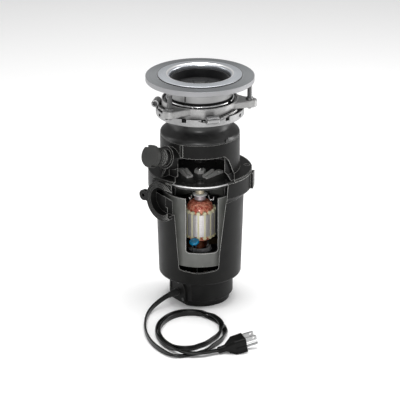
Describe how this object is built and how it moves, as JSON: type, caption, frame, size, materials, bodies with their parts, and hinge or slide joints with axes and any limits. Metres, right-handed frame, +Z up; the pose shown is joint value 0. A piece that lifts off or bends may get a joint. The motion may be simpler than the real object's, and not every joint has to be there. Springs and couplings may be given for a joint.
{
  "type": "kitchen garbage disposal",
  "caption": "Under-sink garbage disposal with a three-bolt sink mount, cutaway windows showing the turntable and armature, side outlet, capped inlet and a coiled mains cord.",
  "frame": {"origin": "centre of the underside of the base, on the axis of the unit", "axes": "+Z up along the axis of the unit, -Y towards the cutaway windows, +X to the right seen from there"},
  "size_m": [0.16, 0.2767, 0.3286],
  "materials": {
    "polished_steel": "polished stainless",
    "gasket_rubber": "matt black rubber",
    "satin_zinc": "satin grey",
    "spring_steel": "bright wire",
    "cast_zinc": "bright die-cast zinc",
    "bolt_steel": "zinc-plated thread",
    "pressed_steel": "zinc-plated sheet",
    "guard_rubber": "soft black rubber",
    "dome_plastic": "satin black",
    "housing_plastic": "fine-textured black",
    "chamber_plastic": "satin black",
    "dark_screw": "black oxide",
    "base_plastic": "fine-textured black",
    "cover_screw": "dull zinc",
    "card_plastic": "moulded phenolic",
    "reset_red": "gloss red",
    "chamber_steel": "dark stained steel",
    "table_steel": "turned stainless",
    "lug_steel": "bright stainless",
    "frame_black": "black paint",
    "bearing_steel": "ground steel",
    "can_grey": "satin grey paint",
    "yoke_steel": "dark steel",
    "ferrite": "sintered ferrite",
    "carbon": "carbon",
    "card_grey": "grey moulding",
    "brush_brass": "dull brass",
    "varistor_blue": "blue epoxy",
    "shaft_steel": "ground shaft",
    "sleeve_bronze": "sintered bronze",
    "white_washer": "white nylon",
    "spacer_metal": "satin",
    "laminations": "stacked laminations",
    "slot_paper": "pale yellow insulation",
    "red_copper": "red enamelled wire",
    "copper_bars": "copper",
    "cap_plastic": "dark grey moulding",
    "cord_jacket": "black ribbed jacket",
    "plug_plastic": "black moulded plug",
    "blade_nickel": "nickel-plated brass"
  },
  "bodies": {
    "root": {"sink_flange": "polished_steel", "flange_gasket": "gasket_rubber", "backup_flange": "satin_zinc", "snap_ring": "spring_steel", "upper_mount_ring": "cast_zinc", "bolt_nuts": "bolt_steel", "cushion_ring": "gasket_rubber", "hopper_dome": "dome_plastic", "upper_housing": "housing_plastic", "hopper_liner": "chamber_plastic", "grind_housing": "housing_plastic", "housing_screws": "dark_screw", "lower_shroud": "housing_plastic", "base_cap": "base_plastic", "terminal_cover": "base_plastic", "cover_screws": "cover_screw", "overload_protector": "card_plastic", "grind_ring": "chamber_steel", "end_frame": "frame_black", "shaft_seal": "gasket_rubber", "upper_bearing": "bearing_steel", "lower_bearing": "bearing_steel", "motor_can": "can_grey", "lower_end_bell": "frame_black", "flux_ring": "yoke_steel", "magnets": "ferrite", "through_bolts": "bolt_steel", "brush_card": "card_grey", "brush_holders": "brush_brass", "varistor": "varistor_blue", "bearing_clip": "spring_steel", "cord_lead": "cord_jacket", "cord_coil": "cord_jacket", "plug_body": "plug_plastic", "plug_blades": "blade_nickel", "plug_ground_pin": "blade_nickel", "strain_relief": "gasket_rubber"},
    "rotor": {"turntable": "table_steel", "impeller_rivets": "lug_steel", "turntable_nut": "lug_steel", "shaft": "shaft_steel", "shaft_sleeve": "sleeve_bronze", "slinger": "white_washer", "rotor_spacer": "spacer_metal", "armature_core": "laminations", "slot_insulation": "slot_paper", "windings_top": "red_copper", "windings_bottom": "red_copper", "commutator": "copper_bars"},
    "impeller_a": {"impeller_a": "lug_steel"},
    "impeller_b": {"impeller_b": "lug_steel"},
    "lock_ring": {"lower_mount_ring": "pressed_steel"},
    "bolt_right": {"mount_bolt_right": "bolt_steel"},
    "bolt_left": {"mount_bolt_left": "bolt_steel"},
    "bolt_rear": {"mount_bolt_rear": "bolt_steel"},
    "inlet_cap": {"inlet_cap": "cap_plastic"},
    "splash_guard": {"splash_guard": "guard_rubber"},
    "reset_button": {"reset_button": "reset_red"},
    "brush_right": {"brush_right": "carbon"},
    "brush_left": {"brush_left": "carbon"}
  },
  "joints": [
    {"name": "rotor_spin", "type": "hinge", "parent": "root", "child": "rotor", "pos_m": [0, 0, 0.18], "axis": [0, 0, 1], "continuous": true},
    {"name": "impeller_a_swing", "type": "hinge", "parent": "rotor", "child": "impeller_a", "pos_m": [-0.0252, 0.0032, 0.186], "axis": [0, 0, 1], "range_deg": [-271, 27]},
    {"name": "impeller_b_swing", "type": "hinge", "parent": "rotor", "child": "impeller_b", "pos_m": [0.0252, -0.0032, 0.186], "axis": [0, 0, 1], "range_deg": [-23, 275]},
    {"name": "lock_ring_turn", "type": "hinge", "parent": "root", "child": "lock_ring", "pos_m": [0, 0, 0.2755], "axis": [0, 0, 1], "range_deg": [-25, 0]},
    {"name": "bolt_right_travel", "type": "slide", "parent": "root", "child": "bolt_right", "axis": [0, 0, 1], "range_m": [-0.012, 0]},
    {"name": "bolt_left_travel", "type": "slide", "parent": "root", "child": "bolt_left", "axis": [0, 0, 1], "range_m": [-0.012, 0]},
    {"name": "bolt_rear_travel", "type": "slide", "parent": "root", "child": "bolt_rear", "axis": [0, 0, 1], "range_m": [-0.012, 0]},
    {"name": "inlet_cap_pull", "type": "slide", "parent": "root", "child": "inlet_cap", "axis": [-0.6725, -0.6725, 0.309], "range_m": [0, 0.03]},
    {"name": "splash_guard_lift", "type": "slide", "parent": "root", "child": "splash_guard", "axis": [0, 0, 1], "range_m": [0, 0.05]},
    {"name": "reset_button_press", "type": "slide", "parent": "root", "child": "reset_button", "axis": [0, 0, 1], "range_m": [0, 0.0022], "stiffness_N_per_m": 300},
    {"name": "brush_right_slide", "type": "slide", "parent": "root", "child": "brush_right", "axis": [0.9397, 0.342, 0], "range_m": [0, 0.005], "stiffness_N_per_m": 120, "springref_m": -0.003},
    {"name": "brush_left_slide", "type": "slide", "parent": "root", "child": "brush_left", "axis": [-0.9397, -0.342, 0], "range_m": [0, 0.005], "stiffness_N_per_m": 120, "springref_m": -0.003}
  ]
}
